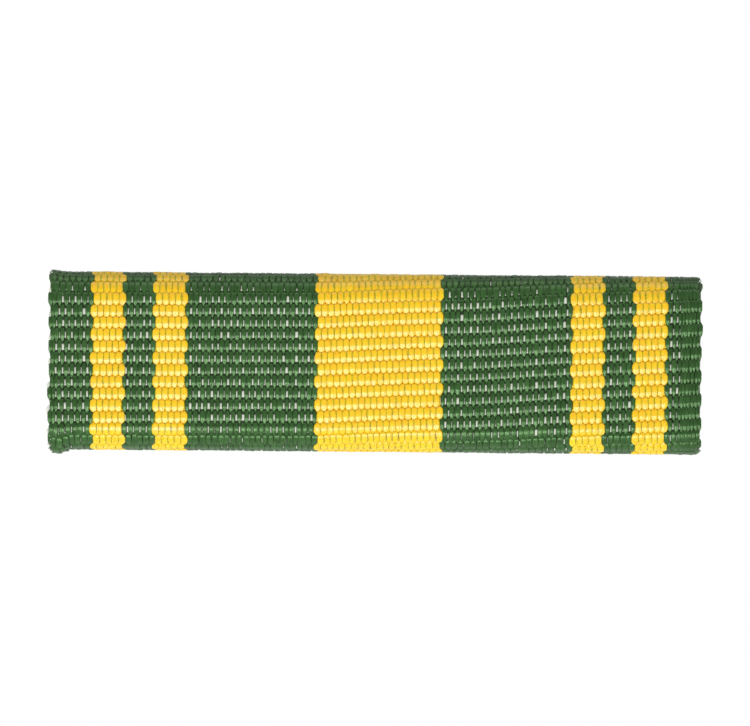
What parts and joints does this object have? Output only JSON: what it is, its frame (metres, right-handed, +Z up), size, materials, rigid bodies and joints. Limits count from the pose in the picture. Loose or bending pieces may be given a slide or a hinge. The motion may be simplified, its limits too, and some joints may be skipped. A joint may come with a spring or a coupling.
{
  "type": "service ribbon bar",
  "caption": "Striped ribbon wrapped round a folded brass bar, sliding on a mounting bar with pointed posts and butterfly clutches.",
  "frame": {"origin": "centre of the mounting bar's rear face, which lies on the garment", "axes": "+X along the bar to the right as seen from the front, +Z up as worn, +Y from the front of the ribbon towards the garment and along the posts; the ribbon's face looks along -Y"},
  "size_m": [0.0348, 0.0115, 0.0098],
  "materials": {
    "ribbon_green": "ribbed weave, warp yarns dyed green",
    "ribbon_yellow": "ribbed weave, warp yarns dyed yellow",
    "ribbon_weft": "undyed weft cords between the warp yarns",
    "bar_brass": "rolled sheet, lacquered, dulled",
    "clutch_brass": "pressed sheet, bright",
    "spring_brass": "hard-rolled spring sheet, fine scratches",
    "post_brass": "drawn wire, turned point"
  },
  "bodies": {
    "mounting_bar": {"mounting_bar": "bar_brass", "left_post": "post_brass", "right_post": "post_brass"},
    "ribbon_unit": {"ribbon": "ribbon_green", "ribbon_bar": "bar_brass"},
    "left_clutch_cap": {"left_clutch_cap": "clutch_brass"},
    "left_clutch_retainer": {"left_clutch_retainer": "clutch_brass"},
    "left_clutch_upper_wing": {"left_clutch_upper_wing": "spring_brass"},
    "left_clutch_lower_wing": {"left_clutch_lower_wing": "spring_brass"},
    "right_clutch_cap": {"right_clutch_cap": "clutch_brass"},
    "right_clutch_retainer": {"right_clutch_retainer": "clutch_brass"},
    "right_clutch_upper_wing": {"right_clutch_upper_wing": "spring_brass"},
    "right_clutch_lower_wing": {"right_clutch_lower_wing": "spring_brass"}
  },
  "joints": [
    {"name": "ribbon_slide", "type": "slide", "parent": "mounting_bar", "child": "ribbon_unit", "axis": [1, 0, 0], "range_m": [-0.036, 0.036]},
    {"name": "left_clutch_slide", "type": "slide", "parent": "mounting_bar", "child": "left_clutch_cap", "axis": [0, 1, 0], "range_m": [-0.0022, 0.0065]},
    {"name": "left_clutch_spin", "type": "hinge", "parent": "left_clutch_cap", "child": "left_clutch_retainer", "pos_m": [-0.0095, 0.0048, 0], "axis": [0, 1, 0], "continuous": true},
    {"name": "left_wing_squeeze", "type": "hinge", "parent": "left_clutch_retainer", "child": "left_clutch_upper_wing", "pos_m": [-0.0095, 0.0048, 0.0021], "axis": [-1, 0, 0], "range_deg": [0, 12], "stiffness_Nm_per_rad": 0.002},
    {"name": "left_lower_wing_squeeze", "type": "hinge", "parent": "left_clutch_retainer", "child": "left_clutch_lower_wing", "pos_m": [-0.0095, 0.0048, -0.0021], "axis": [1, 0, 0], "range_deg": [0, 12]},
    {"name": "right_clutch_slide", "type": "slide", "parent": "mounting_bar", "child": "right_clutch_cap", "axis": [0, 1, 0], "range_m": [-0.0022, 0.0065]},
    {"name": "right_clutch_spin", "type": "hinge", "parent": "right_clutch_cap", "child": "right_clutch_retainer", "pos_m": [0.0095, 0.0048, 0], "axis": [0, 1, 0], "continuous": true},
    {"name": "right_wing_squeeze", "type": "hinge", "parent": "right_clutch_retainer", "child": "right_clutch_upper_wing", "pos_m": [0.0095, 0.0048, 0.0021], "axis": [-1, 0, 0], "range_deg": [0, 12], "stiffness_Nm_per_rad": 0.002},
    {"name": "right_lower_wing_squeeze", "type": "hinge", "parent": "right_clutch_retainer", "child": "right_clutch_lower_wing", "pos_m": [0.0095, 0.0048, -0.0021], "axis": [1, 0, 0], "range_deg": [0, 12]}
  ],
  "couplings": [
    {"joint": "left_lower_wing_squeeze", "follows": "left_wing_squeeze", "ratio": 1},
    {"joint": "right_lower_wing_squeeze", "follows": "right_wing_squeeze", "ratio": 1}
  ]
}
